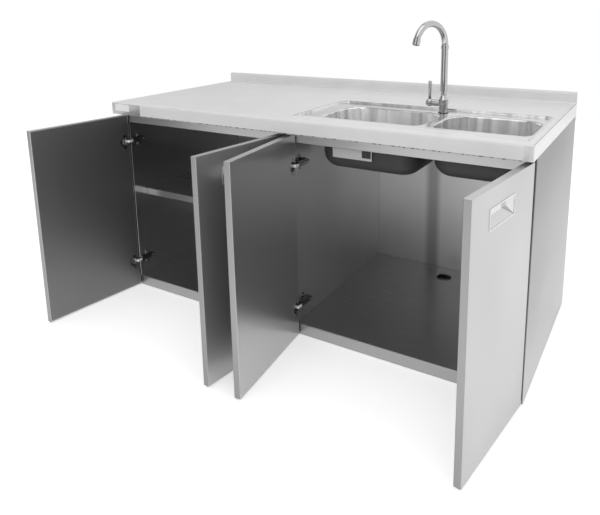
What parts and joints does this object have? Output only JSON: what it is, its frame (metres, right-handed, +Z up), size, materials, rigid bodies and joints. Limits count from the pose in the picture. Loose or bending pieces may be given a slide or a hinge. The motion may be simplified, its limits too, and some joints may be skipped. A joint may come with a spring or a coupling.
{
  "type": "kitchen sink unit",
  "caption": "Free-standing stainless steel kitchen sink unit with a double-bowl sink, a swivelling mixer tap, a shelf and hinged doors, shown with its doors open.",
  "frame": {"origin": "middle of the cabinet's footprint at floor level, the centre of the four foot sockets", "axes": "+X along the worktop to the right, +Y to the back, +Z up"},
  "size_m": [1.5412, 1.0208, 1.0302],
  "materials": {
    "stainless": "fine horizontal brushing, satin",
    "stainless_top": "brushed sheet under a clear-white protective film",
    "sink_steel": "satin pressed steel",
    "door_steel": "fine brushing, satin",
    "galvanised": "galvanised sheet",
    "zinc": "zinc plated",
    "nickel": "nickel plated pressed steel",
    "chrome": "bright polished",
    "brass": "turned brass",
    "rubber": "black",
    "handle": "satin pressed steel",
    "honeycomb": "paper honeycomb board"
  },
  "bodies": {
    "cabinet": {"worktop": "stainless_top", "worktop_channels": "galvanised", "left_side_panel": "stainless", "right_side_panel": "stainless", "centre_divider": "stainless", "back_panel": "stainless", "base_panel": "stainless", "base_channels": "galvanised", "foot_plates": "galvanised", "foot_nuts": "zinc", "top_front_rail": "stainless", "top_rear_rail": "stainless", "shelf": "stainless", "shelf_clips": "zinc", "sink": "sink_steel", "sink_clips": "zinc", "faucet_body": "chrome", "cartridge_housing": "chrome", "faucet_gasket": "rubber", "faucet_shank": "brass", "faucet_washer": "zinc", "faucet_nut": "brass", "hinge_mounting_plates": "nickel", "hinge_screws": "zinc", "door_1_hinge_arms": "nickel", "door_2_hinge_arms": "nickel", "door_3_hinge_arms": "nickel", "door_4_hinge_arms": "nickel"},
    "spout": {"spout_riser": "chrome", "spout_tube": "chrome", "spout_collar": "chrome", "aerator": "chrome"},
    "mixer_hub": {"mixer_hub": "chrome"},
    "lever": {"lever": "chrome", "lever_ring": "rubber"},
    "door_1": {"door_1_outer_pan": "door_steel", "door_1_inner_pan": "door_steel", "door_1_core": "honeycomb", "door_1_handle": "handle", "door_1_hinge_cups": "nickel", "door_1_hinge_pins": "zinc"},
    "door_2": {"door_2_outer_pan": "door_steel", "door_2_inner_pan": "door_steel", "door_2_core": "honeycomb", "door_2_handle": "handle", "door_2_hinge_cups": "nickel", "door_2_hinge_pins": "zinc"},
    "door_3": {"door_3_outer_pan": "door_steel", "door_3_inner_pan": "door_steel", "door_3_core": "honeycomb", "door_3_handle": "handle", "door_3_hinge_cups": "nickel", "door_3_hinge_pins": "zinc"},
    "door_4": {"door_4_outer_pan": "door_steel", "door_4_inner_pan": "door_steel", "door_4_core": "honeycomb", "door_4_handle": "handle", "door_4_hinge_cups": "nickel", "door_4_hinge_pins": "zinc"}
  },
  "joints": [
    {"name": "door_1_hinge", "type": "hinge", "parent": "cabinet", "child": "door_1", "pos_m": [-0.737, -0.3389, 0.3465], "axis": [0, 0, -1], "range_deg": [-97.6, 2.4]},
    {"name": "door_2_hinge", "type": "hinge", "parent": "cabinet", "child": "door_2", "pos_m": [-0.013, -0.3389, 0.3465], "axis": [0, 0, 1], "range_deg": [-83, 7]},
    {"name": "door_3_hinge", "type": "hinge", "parent": "cabinet", "child": "door_3", "pos_m": [0.013, -0.3389, 0.3465], "axis": [0, 0, -1], "range_deg": [-83.7, 6.3]},
    {"name": "door_4_hinge", "type": "hinge", "parent": "cabinet", "child": "door_4", "pos_m": [0.737, -0.3389, 0.3465], "axis": [0, 0, 1], "range_deg": [-82.1, 17.9]},
    {"name": "spout_swivel", "type": "hinge", "parent": "cabinet", "child": "spout", "pos_m": [0.396, -0.0204, 0.806], "axis": [0, 0, 1], "range_deg": [-80, 120]},
    {"name": "mixer_turn", "type": "hinge", "parent": "cabinet", "child": "mixer_hub", "pos_m": [0.3497, -0.0204, 0.7665], "axis": [1, 0, 0], "range_deg": [-45, 45]},
    {"name": "lever_tilt", "type": "hinge", "parent": "mixer_hub", "child": "lever", "pos_m": [0.3497, -0.0204, 0.7665], "axis": [0, -1, 0], "range_deg": [0, 20]}
  ]
}
